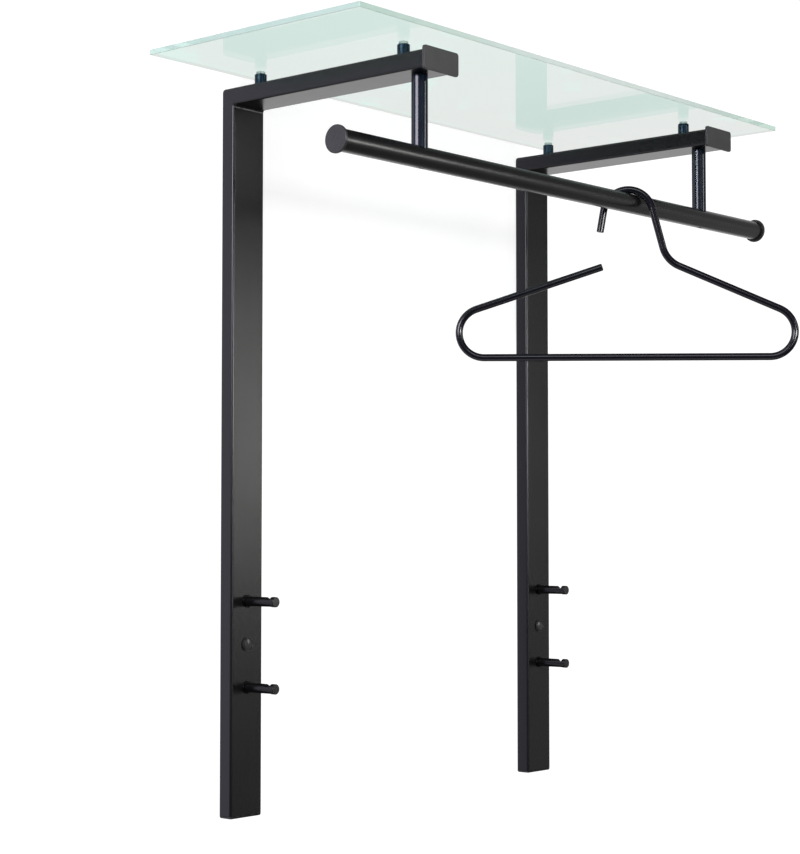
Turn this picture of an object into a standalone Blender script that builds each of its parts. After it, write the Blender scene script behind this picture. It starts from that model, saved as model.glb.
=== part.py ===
"""Wall coat rack of black tube: two brackets carry a glass shelf, a clothes bar, coat pegs and a hanger.

Sizes are in metres. X runs along the wall, Y points into the wall and Z is up.
The origin lies on the wall, midway between the posts, level with the upper wall screws.
"""

import math

import bmesh
import bpy
from mathutils import Vector

# Play between pieces that seat on or in each other
GAP = 0.0003

# Bent tube of the two brackets
TUBE_WIDTH = 0.050
TUBE_DEPTH = 0.020
TUBE_WALL = 0.002
TUBE_CORNER = 0.003
POST_SPACING = 0.560
POST_HEIGHT = 0.840
ARM_REACH = 0.3075

# Wall fixings in the posts
UPPER_FIXING_DROP = 0.070
KEYHOLE_HEAD = 0.012
KEYHOLE_SLOT = 0.0065
KEYHOLE_TRAVEL = 0.012
WALL_SCREW_HOLE = 0.006
ACCESS_HOLE = 0.0125

# Plugs that close the tube
PLUG_LENGTH = 0.014
FOOT_PLATE = 0.003
END_PLATE = 0.003
END_PLATE_SIDE_LIP = 0.004
END_PLATE_EDGE_LIP = 0.003
END_PLATE_CORNER = 0.0035
PLATE_EDGE_ROUND = 0.0006

# Spacers and pads under the shelf
STANDOFF_DIAMETER = 0.014
STANDOFF_HEIGHT = 0.016
STANDOFF_ROUND = 0.0016
STANDOFF_STUD = 0.006
STANDOFF_STUD_LENGTH = 0.009
STANDOFF_FROM_WALL = 0.0388
STANDOFF_FROM_ARM_END = 0.0505
PAD_DIAMETER = 0.0105
PAD_THICKNESS = 0.0028
PAD_ROUND = 0.0006

# Glass shelf
SHELF_THICKNESS = 0.006
SHELF_DEPTH = 0.316
SHELF_OVERHANG = 0.1358
SHELF_SHIFT = -0.0027
SHELF_WALL_GAP = 0.001
SHELF_CORNER = 0.0012
SHELF_ARRIS = 0.0006

# Clothes bar and its end discs
BAR_DIAMETER = 0.024
BAR_WALL = 0.0015
BAR_OVERHANG = 0.1338
BAR_SHIFT = 0.0032
BAR_FROM_ARM_END = 0.0276
BAR_CAP_LIP = 0.003
BAR_CAP_THICKNESS = 0.003
BAR_CAP_ROUND = 0.0008
BAR_CAP_PLUG = 0.012

# Rods between arm and bar, with their screws
ROD_DIAMETER = 0.018
ROD_LENGTH = 0.0775
ROD_SCREW = 0.006
ROD_SCREW_BITE = 0.018
ROD_SCREW_HEAD = 0.0105
ROD_SCREW_HEAD_HEIGHT = 0.003
BAR_SCREW = 0.004
BAR_SCREW_BITE = 0.014
BAR_SCREW_HEAD = 0.0075
BAR_SCREW_SINK = 0.0022
BORE_SPARE = 0.002

# Coat pegs and their threaded inserts
PEG_GROUP_HEIGHT = 0.1975
PEG_PITCH = 0.0985
PEG_DIAMETER = 0.0111
PEG_REACH = 0.0464
PEG_STUD = 0.005
PEG_STUD_LENGTH = 0.011
KNOB_DIAMETER = 0.0119
KNOB_LENGTH = 0.006
KNOB_CHAMFER = 0.0006
NOTCH_LENGTH = 0.009
NOTCH_DEPTH = 0.003
INSERT_FLANGE = 0.0145
INSERT_FLANGE_THICKNESS = 0.0012
INSERT_BODY = 0.009
INSERT_LENGTH = 0.012

# Screw covers
COVER_DIAMETER = 0.017
COVER_RIM = 0.0006
COVER_DOME = 0.0018
COVER_STEM_LENGTH = 0.008
COVER_STEM_WALL = 0.0015

# Hanger of bent rod: sizes of its centre line, measured from the top of its hook
HANGER_ROD = 0.009
HANGER_PLACE = 0.1174
HANGER_TURN = math.radians(-52.0)
HANGER_HOOK_BEND = 0.0303
HANGER_TIP_LEAN = math.radians(9.7)
HANGER_TIP_LENGTH = 0.0278
HANGER_NECK_LEAN = math.radians(14.65)
HANGER_NECK_DROP = 0.0881
HANGER_NECK_BEND = 0.0348
HANGER_DROP = 0.2066
HANGER_END_BEND = 0.0307
HANGER_NECK_SIDE_REACH = 0.2022
HANGER_FREE_SIDE_REACH = 0.2079
HANGER_FREE_END_OFFSET = 0.032
HANGER_FREE_END_DROP = 0.0954

# Fineness of round shapes
CORNER_STEPS = 4
FILLET_STEPS = 3
SMALL_STEPS = 16
ROUND_STEPS = 24
BEND_STEP = math.radians(10.0)
FINE_CORNER = 0.0002

# Heights and depths that follow from the sizes above
ARM_TOP = UPPER_FIXING_DROP
ARM_BOTTOM = ARM_TOP - TUBE_DEPTH
POST_FOOT = ARM_TOP - POST_HEIGHT
TUBE_FOOT = POST_FOOT + FOOT_PLATE + GAP
POST_FRONT = -TUBE_DEPTH
SIDE_X = POST_SPACING / 2
STANDOFF_DEPTHS = {"rear": -STANDOFF_FROM_WALL, "front": STANDOFF_FROM_ARM_END - ARM_REACH}
STANDOFF_TOP = ARM_TOP + GAP + STANDOFF_HEIGHT
PAD_TOP = STANDOFF_TOP + GAP + PAD_THICKNESS
SHELF_BOTTOM = PAD_TOP + GAP
SHELF_WIDTH = POST_SPACING + 2 * SHELF_OVERHANG
BAR_RADIUS = BAR_DIAMETER / 2
BAR_Y = BAR_FROM_ARM_END - ARM_REACH
BAR_TOP = ARM_BOTTOM - GAP - ROD_LENGTH - GAP
BAR_Z = BAR_TOP - BAR_RADIUS
BAR_HALF = SIDE_X + BAR_OVERHANG
COVER_Z = POST_FOOT + PEG_GROUP_HEIGHT
PEG_HEIGHTS = {"upper": COVER_Z + PEG_PITCH / 2, "lower": COVER_Z - PEG_PITCH / 2}
SIDES = {"left": -1, "right": 1}

# Turns that point a piece's own +Z along the world's axes
POINTING_UP = (0.0, 0.0, 0.0)
POINTING_DOWN = (math.pi, 0.0, 0.0)
POINTING_FORWARD = (math.pi / 2, 0.0, 0.0)
POINTING_BACK = (-math.pi / 2, 0.0, 0.0)
POINTING_LEFT = (0.0, -math.pi / 2, 0.0)
POINTING_RIGHT = (0.0, math.pi / 2, 0.0)


def clear_scene():
    """Start from an empty scene."""
    for old in list(bpy.data.objects):
        bpy.data.objects.remove(old, do_unlink=True)


def new_collection(name):
    """Add a collection to the scene."""
    collection = bpy.data.collections.new(name)
    bpy.context.scene.collection.children.link(collection)
    return collection


def new_material(name, colour, roughness, metallic=0.0, transmission=0.0):
    """A plain surface with one colour and gloss."""
    material = bpy.data.materials.new(name)
    material.use_nodes = True
    surface = material.node_tree.nodes["Principled BSDF"]
    surface.inputs["Base Color"].default_value = (*colour, 1.0)
    surface.inputs["Roughness"].default_value = roughness
    surface.inputs["Metallic"].default_value = metallic
    surface.inputs["Transmission Weight"].default_value = transmission
    material.diffuse_color = (*colour, 1.0)
    return material


def add_object(name, data, parent, location=(0.0, 0.0, 0.0), turn=POINTING_UP):
    """Put a piece in the rack's collection, placed from its parent."""
    piece = bpy.data.objects.new(name, data)
    RACK.objects.link(piece)
    piece.parent = parent
    piece.location = location
    piece.rotation_euler = turn
    return piece


def add_tool(name, mesh, parent, location, turn=POINTING_UP):
    """Put a shape that cuts or joins another one in the tools' collection."""
    tool = bpy.data.objects.new(name, mesh)
    TOOLS.objects.link(tool)
    tool.parent = parent
    tool.location = location
    tool.rotation_euler = turn
    tool.hide_render = True
    tool.display_type = "WIRE"
    return tool


def combine(piece, tool, operation="DIFFERENCE"):
    """Cut a tool out of a piece, or join it to the piece."""
    boolean = piece.modifiers.new(tool.name, "BOOLEAN")
    boolean.operation = operation
    boolean.solver = "EXACT"
    boolean.object = tool


def rounded_rectangle(width, height, radius):
    """Points round a rectangle with arcs at its corners, centred on the origin."""
    points = []
    for quarter, (side_x, side_y) in enumerate(((1, 1), (-1, 1), (-1, -1), (1, -1))):
        centre_x = side_x * (width / 2 - radius)
        centre_y = side_y * (height / 2 - radius)
        for step in range(CORNER_STEPS + 1):
            angle = math.pi / 2 * (quarter + step / CORNER_STEPS)
            points.append((centre_x + radius * math.cos(angle), centre_y + radius * math.sin(angle)))
    return points


def mesh_from(name, bm):
    """Turn an edit mesh into mesh data with its faces pointing out."""
    bmesh.ops.recalc_face_normals(bm, faces=bm.faces)
    mesh = bpy.data.meshes.new(name)
    bm.to_mesh(mesh)
    bm.free()
    return mesh


def slab_mesh(name, outline, thickness, edge_round=0.0):
    """A flat outline made thick along +Z, with its rims rounded."""
    bm = bmesh.new()
    base = bm.faces.new([bm.verts.new((x, y, 0.0)) for x, y in outline])
    raised = bmesh.ops.extrude_face_region(bm, geom=[base])["geom"]
    top = [item for item in raised if isinstance(item, bmesh.types.BMVert)]
    bmesh.ops.translate(bm, verts=top, vec=(0.0, 0.0, thickness))
    if edge_round:
        rims = [edge for edge in bm.edges if edge.verts[0].co.z == edge.verts[1].co.z]
        bmesh.ops.bevel(
            bm, geom=rims, offset=edge_round, segments=2, profile=0.5, affect="EDGES", material=-1
        )
    return mesh_from(name, bm)


def cylinder_mesh(name, diameter, length, end_diameter=None, steps=SMALL_STEPS):
    """A cylinder or cone about Z, centred on the origin; end_diameter is its top."""
    bm = bmesh.new()
    top = diameter if end_diameter is None else end_diameter
    bmesh.ops.create_cone(
        bm, cap_ends=True, segments=steps, radius1=diameter / 2, radius2=top / 2, depth=length
    )
    return mesh_from(name, bm)


def box_mesh(name, size):
    """A box centred on the origin."""
    bm = bmesh.new()
    bmesh.ops.create_cube(bm, size=1.0)
    bmesh.ops.scale(bm, vec=size, verts=bm.verts)
    return mesh_from(name, bm)


def fillet(radius, height, size):
    """Points of a quarter round between the top face and the wall of a turned piece."""
    steps = [math.pi / 2 * step / FILLET_STEPS for step in range(FILLET_STEPS + 1)]
    return [(radius - size + size * math.sin(a), height - size + size * math.cos(a)) for a in steps]


def turned(name, profile, material, parent, location, turn=POINTING_UP, steps=ROUND_STEPS, ring=False):
    """A turned piece: (radius, height) points down its outer side; a ring joins its last to its first."""
    mesh = bpy.data.meshes.new(name)
    links = [(index, index + 1) for index in range(len(profile) - 1)]
    if ring:
        links.append((len(profile) - 1, 0))
    mesh.from_pydata([(radius, 0.0, height) for radius, height in profile], links, [])
    mesh.materials.append(material)
    piece = add_object(name, mesh, parent, location, turn)
    spin = piece.modifiers.new("turn", "SCREW")
    spin.axis = "Z"
    spin.steps = steps
    spin.render_steps = steps
    spin.use_merge_vertices = True
    spin.merge_threshold = 0.00001
    spin.use_smooth_shade = True
    return piece


def drawn_out(bm, rim, move):
    """Draw a rim of edges out into a new rim, whose points go where move puts them."""
    geometry = bmesh.ops.extrude_edge_only(bm, edges=rim)["geom"]
    points = {item for item in geometry if isinstance(item, bmesh.types.BMVert)}
    for point in points:
        point.co = move(point.co)
    edges = [item for item in geometry if isinstance(item, bmesh.types.BMEdge)]
    return [edge for edge in edges if set(edge.verts) <= points]


def bracket_mesh():
    """The outer skin of the tube, drawn from the foot up to the mitre and out along the arm."""
    bm = bmesh.new()
    outline = rounded_rectangle(TUBE_WIDTH, TUBE_DEPTH, TUBE_CORNER)
    points = [bm.verts.new((x, y - TUBE_DEPTH / 2, TUBE_FOOT)) for x, y in outline]
    foot = [bm.edges.new(pair) for pair in zip(points, points[1:] + points[:1])]
    mitre = drawn_out(bm, foot, lambda co: Vector((co.x, co.y, ARM_TOP + co.y)))
    drawn_out(bm, mitre, lambda co: Vector((co.x, -ARM_REACH, co.z)))
    return mesh_from("bracket", bm)


def add_tube_wall(bracket):
    """Give the tube's skin its wall, inwards, with the same thickness through the mitre."""
    wall = bracket.modifiers.new("wall", "SOLIDIFY")
    wall.thickness = TUBE_WALL
    wall.offset = -1.0
    wall.use_even_offset = True
    wall.use_quality_normals = True


def bore(piece, what, diameter, length, location, turn=POINTING_UP, steps=SMALL_STEPS):
    """Drill a round hole through a piece."""
    name = f"{piece.name}_{what}"
    drill = cylinder_mesh(name, diameter, length, steps=steps)
    combine(piece, add_tool(name, drill, piece.parent, location, turn))


def add_bracket(side, root):
    """One bracket with its holes for standoffs, rod, pegs, cover and wall screws."""
    mesh = bracket_mesh()
    mesh.materials.append(POWDER_COAT)
    bracket = add_object(f"bracket_{side}", mesh, root)
    add_tube_wall(bracket)
    through_wall = 3 * TUBE_WALL
    for place, depth in STANDOFF_DEPTHS.items():
        hole = STANDOFF_STUD + 2 * GAP
        bore(bracket, f"{place}_stud_hole", hole, through_wall, (0.0, depth, ARM_TOP - TUBE_WALL / 2))
    through_arm = TUBE_DEPTH + 2 * TUBE_WALL
    arm_middle = (ARM_TOP + ARM_BOTTOM) / 2
    bore(bracket, "rod_screw_hole", ROD_SCREW + 2 * GAP, through_arm, (0.0, BAR_Y, arm_middle))
    front_wall = POST_FRONT + TUBE_WALL / 2
    back_wall = -TUBE_WALL / 2
    for level, height in PEG_HEIGHTS.items():
        place = (0.0, front_wall, height)
        bore(bracket, f"{level}_insert_hole", INSERT_BODY + 2 * GAP, through_wall, place, POINTING_FORWARD)
    bore(bracket, "access_hole", ACCESS_HOLE, through_wall, (0.0, front_wall, COVER_Z), POINTING_FORWARD)
    bore(bracket, "wall_screw_hole", WALL_SCREW_HOLE, through_wall, (0.0, back_wall, COVER_Z), POINTING_FORWARD)
    head = (0.0, back_wall, -KEYHOLE_TRAVEL)
    bore(bracket, "keyhole_head", KEYHOLE_HEAD, through_wall, head, POINTING_FORWARD)
    slot = rounded_rectangle(KEYHOLE_SLOT, KEYHOLE_TRAVEL + KEYHOLE_SLOT, KEYHOLE_SLOT / 2 - FINE_CORNER)
    name = f"bracket_{side}_keyhole_slot"
    slot_place = (0.0, back_wall + through_wall / 2, -KEYHOLE_TRAVEL / 2)
    combine(bracket, add_tool(name, slab_mesh(name, slot, through_wall), root, slot_place, POINTING_FORWARD))


def add_plug(name, root, plate, thickness, corner, location, turn):
    """A plate with a block behind it that fits the tube's inside; +Z points out of the tube."""
    outline = rounded_rectangle(*plate, corner)
    mesh = slab_mesh(name, outline, thickness, PLATE_EDGE_ROUND)
    mesh.materials.append(MOULDED_BLACK)
    piece = add_object(name, mesh, root, location, turn)
    play = 2 * (TUBE_WALL + GAP)
    inner = rounded_rectangle(TUBE_WIDTH - play, TUBE_DEPTH - play, max(TUBE_CORNER - TUBE_WALL, FINE_CORNER))
    block_name = f"{name}_block"
    block = slab_mesh(block_name, inner, PLUG_LENGTH + thickness / 2)
    direction = Vector((0.0, 0.0, 1.0))
    direction.rotate(piece.rotation_euler)
    start = Vector(location) - PLUG_LENGTH * direction
    combine(piece, add_tool(block_name, block, root, start, turn), "UNION")


def add_end_plate(side, root):
    """The plate on the front end of an arm, with a lip all round the tube."""
    plate = (TUBE_WIDTH + 2 * END_PLATE_SIDE_LIP, TUBE_DEPTH + 2 * END_PLATE_EDGE_LIP)
    place = (0.0, -ARM_REACH - GAP, (ARM_TOP + ARM_BOTTOM) / 2)
    add_plug(f"arm_end_plate_{side}", root, plate, END_PLATE, END_PLATE_CORNER, place, POINTING_FORWARD)


def add_post_plug(side, root):
    """The plug in the foot of a post, flush with the tube all round."""
    place = (0.0, -TUBE_DEPTH / 2, TUBE_FOOT - GAP)
    plate = (TUBE_WIDTH, TUBE_DEPTH)
    add_plug(f"post_plug_{side}", root, plate, FOOT_PLATE, TUBE_CORNER, place, POINTING_DOWN)


def add_standoff(side, place, root):
    """A spacer screwed into the arm, and the clear pad that lies on it."""
    radius = STANDOFF_DIAMETER / 2
    stud = STANDOFF_STUD / 2
    profile = [(0.0, STANDOFF_HEIGHT), *fillet(radius, STANDOFF_HEIGHT, STANDOFF_ROUND), (radius, 0.0)]
    profile += [(stud, 0.0), (stud, -STANDOFF_STUD_LENGTH), (0.0, -STANDOFF_STUD_LENGTH)]
    spot = (0.0, STANDOFF_DEPTHS[place], ARM_TOP + GAP)
    turned(f"standoff_{side}_{place}", profile, GLOSS_BLACK, root, spot, steps=SMALL_STEPS)
    pad = PAD_DIAMETER / 2
    profile = [(0.0, PAD_THICKNESS), *fillet(pad, PAD_THICKNESS, PAD_ROUND), (pad, 0.0), (0.0, 0.0)]
    spot = (0.0, STANDOFF_DEPTHS[place], STANDOFF_TOP + GAP)
    turned(f"shelf_pad_{side}_{place}", profile, CLEAR_PAD, root, spot, steps=SMALL_STEPS)


def add_support_rod(side, root):
    """A rod under an arm: bored at both ends and coped to sit on the bar."""
    radius = ROD_DIAMETER / 2
    upper = ROD_SCREW / 2 + GAP
    lower = BAR_SCREW / 2 + GAP
    base = -ROD_LENGTH - BAR_RADIUS
    upper_end = -ROD_SCREW_BITE - BORE_SPARE
    lower_end = -ROD_LENGTH + BAR_SCREW_BITE + BORE_SPARE
    profile = [(0.0, upper_end), (upper, upper_end), (upper, 0.0), (radius, 0.0)]
    profile += [(radius, base), (lower, base), (lower, lower_end), (0.0, lower_end)]
    rod = turned(f"support_rod_{side}", profile, GLOSS_BLACK, root, (0.0, BAR_Y, ARM_BOTTOM - GAP))
    saddle = BAR_DIAMETER + 2 * GAP
    bore(rod, "saddle", saddle, 2 * ROD_DIAMETER, (0.0, BAR_Y, BAR_Z), POINTING_RIGHT, ROUND_STEPS)


def add_rod_screw(side, root):
    """The button head screw down through the arm into the rod."""
    head = ROD_SCREW_HEAD / 2
    shank = ROD_SCREW / 2
    tip = -(TUBE_DEPTH + 2 * GAP + ROD_SCREW_BITE)
    rise = [math.pi / 2 * step / FILLET_STEPS for step in range(FILLET_STEPS + 1)]
    profile = [(head * math.sin(angle), ROD_SCREW_HEAD_HEIGHT * math.cos(angle)) for angle in rise]
    profile += [(shank, 0.0), (shank, tip), (0.0, tip)]
    turned(f"rod_screw_{side}", profile, BLACK_STEEL, root, (0.0, BAR_Y, ARM_TOP + GAP), steps=SMALL_STEPS)


def bar_screw_top():
    """Height of the bar screw's tip above its head."""
    return BAR_DIAMETER + GAP + BAR_SCREW_BITE


def add_bar_screw(side, root):
    """The flush countersunk screw up through the bar into the rod."""
    head = BAR_SCREW_HEAD / 2
    shank = BAR_SCREW / 2
    tip = bar_screw_top()
    profile = [(0.0, tip), (shank, tip), (shank, BAR_SCREW_SINK), (head, 0.0), (0.0, 0.0)]
    place = (0.0, BAR_Y, BAR_Z - BAR_RADIUS)
    turned(f"bar_screw_{side}", profile, BLACK_STEEL, root, place, steps=SMALL_STEPS)


def add_bar():
    """The hollow bar with a countersunk hole under each rod."""
    inner = BAR_RADIUS - BAR_WALL
    profile = [(inner, BAR_HALF), (BAR_RADIUS, BAR_HALF), (BAR_RADIUS, -BAR_HALF), (inner, -BAR_HALF)]
    place = (BAR_SHIFT, BAR_Y, BAR_Z)
    bar = turned("clothes_bar", profile, POWDER_COAT, None, place, POINTING_RIGHT, ring=True)
    for side, sign in SIDES.items():
        spot = (sign * SIDE_X, BAR_Y, BAR_Z)
        bore(bar, f"{side}_screw_hole", BAR_SCREW + 2 * GAP, 2 * BAR_DIAMETER, spot)
        name = f"clothes_bar_{side}_countersink"
        slope = (BAR_SCREW_HEAD - BAR_SCREW) / BAR_SCREW_SINK
        spread = 2 * GAP * math.sqrt(1 + slope * slope / 4)
        depth = 2 * BAR_SCREW_SINK
        mouth = BAR_SCREW_HEAD + slope * BAR_SCREW_SINK + spread
        sink = cylinder_mesh(name, mouth, depth, BAR_SCREW + spread)
        combine(bar, add_tool(name, sink, None, (spot[0], BAR_Y, BAR_Z - BAR_RADIUS)))


def add_bar_cap(side, root):
    """The disc on one end of the bar, with a plug that fits inside."""
    radius = BAR_RADIUS + BAR_CAP_LIP
    plug = BAR_RADIUS - BAR_WALL - GAP
    profile = [(0.0, BAR_CAP_THICKNESS), *fillet(radius, BAR_CAP_THICKNESS, BAR_CAP_ROUND), (radius, 0.0)]
    profile += [(plug, 0.0), (plug, -BAR_CAP_PLUG), (0.0, -BAR_CAP_PLUG)]
    sign = SIDES[side]
    turn = POINTING_RIGHT if sign > 0 else POINTING_LEFT
    place = (sign * (BAR_OVERHANG + GAP) + BAR_SHIFT, BAR_Y, BAR_Z)
    turned(f"bar_cap_{side}", profile, MOULDED_BLACK, root, place, turn)


def add_peg(side, level, root):
    """A coat peg with a notch milled behind its knob, and the insert that it screws into."""
    place = (0.0, POST_FRONT, PEG_HEIGHTS[level])
    flange_top = GAP + INSERT_FLANGE_THICKNESS
    thread = PEG_STUD / 2 + GAP
    profile = [(thread, flange_top), (INSERT_FLANGE / 2, flange_top), (INSERT_FLANGE / 2, GAP)]
    profile += [(INSERT_BODY / 2, GAP), (INSERT_BODY / 2, -INSERT_LENGTH), (thread, -INSERT_LENGTH)]
    turned(
        f"peg_insert_{side}_{level}", profile, BLACK_STEEL, root, place, POINTING_FORWARD, SMALL_STEPS, ring=True
    )
    seat = flange_top + GAP
    knob = KNOB_DIAMETER / 2
    pin = PEG_DIAMETER / 2
    stud = PEG_STUD / 2
    knob_back = PEG_REACH - KNOB_LENGTH
    profile = [(0.0, PEG_REACH), (knob - KNOB_CHAMFER, PEG_REACH), (knob, PEG_REACH - KNOB_CHAMFER)]
    profile += [(knob, knob_back), (pin, knob_back), (pin, seat), (stud, seat)]
    profile += [(stud, seat - PEG_STUD_LENGTH), (0.0, seat - PEG_STUD_LENGTH)]
    peg = turned(f"peg_{side}_{level}", profile, GLOSS_BLACK, root, place, POINTING_FORWARD)
    name = f"{peg.name}_notch"
    size = (2 * KNOB_DIAMETER, NOTCH_LENGTH + KNOB_CHAMFER, KNOB_DIAMETER)
    reach = knob_back + KNOB_CHAMFER - size[1] / 2
    height = PEG_HEIGHTS[level] + pin - NOTCH_DEPTH + size[2] / 2
    combine(peg, add_tool(name, box_mesh(name, size), root, (0.0, POST_FRONT - reach, height)))


def add_screw_cover(side, root):
    """The low domed cover over the lower wall screw, with a hollow stem in the access hole."""
    radius = COVER_DIAMETER / 2
    stem = ACCESS_HOLE / 2 - GAP
    rise = [math.pi / 2 * step / FILLET_STEPS for step in range(FILLET_STEPS + 1)]
    shoulder = GAP + COVER_RIM
    profile = [(radius * math.sin(angle), shoulder + COVER_DOME * math.cos(angle)) for angle in rise]
    profile += [(radius, GAP), (stem, GAP), (stem, -COVER_STEM_LENGTH)]
    profile += [(stem - COVER_STEM_WALL, -COVER_STEM_LENGTH), (stem - COVER_STEM_WALL, GAP), (0.0, GAP)]
    turned(f"screw_cover_{side}", profile, MOULDED_BLACK, root, (0.0, POST_FRONT, COVER_Z), POINTING_FORWARD)


def add_shelf():
    """The glass plate on the four pads, just clear of the wall."""
    outline = rounded_rectangle(SHELF_WIDTH, SHELF_DEPTH, SHELF_CORNER)
    mesh = slab_mesh("glass_shelf", outline, SHELF_THICKNESS, SHELF_ARRIS)
    mesh.materials.append(GREEN_GLASS)
    place = (SHELF_SHIFT, -SHELF_WALL_GAP - SHELF_DEPTH / 2, SHELF_BOTTOM)
    add_object("glass_shelf", mesh, None, place)


def arc(centre, radius, start, end):
    """Points along an arc in the hanger's plane, from one angle to another."""
    steps = math.ceil(abs(end - start) / BEND_STEP)
    angles = [start + (end - start) * step / steps for step in range(steps + 1)]
    return [centre + radius * Vector((math.cos(angle), math.sin(angle))) for angle in angles]


def slope_over(point, centre, radius, sign):
    """Angle of the line from a point that touches the upper side of a circle; sign says which way it runs."""
    towards = centre - point
    return math.atan2(towards.y, towards.x) + sign * math.asin(radius / towards.length)


def hanger_path():
    """Centre line of the hanger's rod, from the tip of the hook to the free end, with the hook's top at zero."""
    hook_centre = Vector((0.0, -HANGER_HOOK_BEND))
    hook = arc(hook_centre, HANGER_HOOK_BEND, math.pi - HANGER_TIP_LEAN, HANGER_NECK_LEAN)
    tip = hook[0] - HANGER_TIP_LENGTH * Vector((math.sin(HANGER_TIP_LEAN), math.cos(HANGER_TIP_LEAN)))

    corner = Vector((0.0, -HANGER_NECK_DROP))
    corner.x = hook[-1].x + (hook[-1].y - corner.y) * math.tan(HANGER_NECK_LEAN)
    end_level = HANGER_END_BEND - HANGER_DROP
    neck_end = Vector((HANGER_NECK_SIDE_REACH - HANGER_END_BEND, end_level))
    free_end = Vector((HANGER_END_BEND - HANGER_FREE_SIDE_REACH, end_level))

    neck = HANGER_NECK_LEAN - math.pi / 2
    shoulder = slope_over(corner, neck_end, HANGER_END_BEND, 1)
    run_in = HANGER_NECK_BEND * math.tan((shoulder - neck) / 2)
    bend_start = corner - run_in * Vector((math.cos(neck), math.sin(neck)))
    bend_centre = bend_start + HANGER_NECK_BEND * Vector((-math.sin(neck), math.cos(neck)))
    bend = arc(bend_centre, HANGER_NECK_BEND, neck - math.pi / 2, shoulder - math.pi / 2)
    neck_side = arc(neck_end, HANGER_END_BEND, shoulder + math.pi / 2, -math.pi / 2)

    cut_end = Vector((-HANGER_FREE_END_OFFSET, -HANGER_FREE_END_DROP))
    free_slope = slope_over(cut_end, free_end, HANGER_END_BEND, -1) % (2 * math.pi)
    free_side = arc(free_end, HANGER_END_BEND, 1.5 * math.pi, free_slope - math.pi / 2)
    return [tip, *hook, *bend, *neck_side, *free_side, cut_end]


def add_hanger():
    """The bent rod hung on the bar, turned a little from square to it."""
    path = hanger_path()
    curve = bpy.data.curves.new("hanger", "CURVE")
    curve.dimensions = "3D"
    curve.bevel_depth = HANGER_ROD / 2
    curve.bevel_resolution = 3
    curve.use_fill_caps = True
    spline = curve.splines.new("POLY")
    spline.points.add(len(path) - 1)
    for point, place in zip(spline.points, path):
        point.co = (place.x, 0.0, place.y, 1.0)
    spline.use_smooth = True
    curve.materials.append(GLOSS_BLACK)
    place = (HANGER_PLACE, BAR_Y, BAR_TOP + GAP + HANGER_ROD / 2)
    add_object("hanger", curve, None, place, (0.0, 0.0, HANGER_TURN))


def add_side(side):
    """Everything that is carried by one bracket, placed from the foot of its wall line."""
    root = bpy.data.objects.new(f"{side}_side", None)
    RACK.objects.link(root)
    root.location.x = SIDES[side] * SIDE_X
    add_bracket(side, root)
    add_end_plate(side, root)
    add_post_plug(side, root)
    for place in STANDOFF_DEPTHS:
        add_standoff(side, place, root)
    add_support_rod(side, root)
    add_rod_screw(side, root)
    add_bar_screw(side, root)
    add_bar_cap(side, root)
    for level in PEG_HEIGHTS:
        add_peg(side, level, root)
    add_screw_cover(side, root)


clear_scene()
RACK = new_collection("wall_coat_rack")
TOOLS = new_collection("tools")
POWDER_COAT = new_material("powder_coat", (0.020, 0.020, 0.021), 0.48)
GLOSS_BLACK = new_material("gloss_black", (0.012, 0.012, 0.015), 0.22)
MOULDED_BLACK = new_material("moulded_black", (0.024, 0.024, 0.025), 0.50)
BLACK_STEEL = new_material("black_steel", (0.030, 0.030, 0.032), 0.35, metallic=1.0)
CLEAR_PAD = new_material("clear_pad", (0.80, 0.86, 0.83), 0.30, transmission=0.8)
GREEN_GLASS = new_material("green_glass", (0.80, 0.93, 0.88), 0.02, transmission=1.0)
for side_name in SIDES:
    add_side(side_name)
add_bar()
add_shelf()
add_hanger()
bpy.context.view_layer.update()
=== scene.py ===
import math

import bmesh
import bpy
from mathutils import Matrix, Vector, noise


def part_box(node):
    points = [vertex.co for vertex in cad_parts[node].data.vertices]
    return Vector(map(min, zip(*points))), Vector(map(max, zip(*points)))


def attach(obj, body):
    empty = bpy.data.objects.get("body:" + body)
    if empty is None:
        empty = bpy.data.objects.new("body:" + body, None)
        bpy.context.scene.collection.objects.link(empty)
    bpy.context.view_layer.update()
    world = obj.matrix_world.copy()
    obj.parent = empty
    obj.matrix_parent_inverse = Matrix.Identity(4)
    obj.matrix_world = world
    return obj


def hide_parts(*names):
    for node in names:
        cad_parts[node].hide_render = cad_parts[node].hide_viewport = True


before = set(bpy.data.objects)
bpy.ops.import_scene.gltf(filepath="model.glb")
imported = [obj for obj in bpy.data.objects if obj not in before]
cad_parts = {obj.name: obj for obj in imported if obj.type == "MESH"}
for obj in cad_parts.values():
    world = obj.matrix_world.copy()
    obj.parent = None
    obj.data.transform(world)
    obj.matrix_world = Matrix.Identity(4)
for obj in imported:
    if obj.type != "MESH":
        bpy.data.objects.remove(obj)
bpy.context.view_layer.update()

MERGE = 1e-6
SMOOTH_ANGLE = math.radians(32)
SIDES = ("left", "right")
NO_TURN = Matrix()
FORWARD = Matrix.Rotation(math.pi / 2, 4, "X")
DOWN = Matrix.Rotation(math.pi, 4, "X")
RIGHT = Matrix.Rotation(math.pi / 2, 4, "Y")
LEFT = Matrix.Rotation(-math.pi / 2, 4, "Y")

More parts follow.
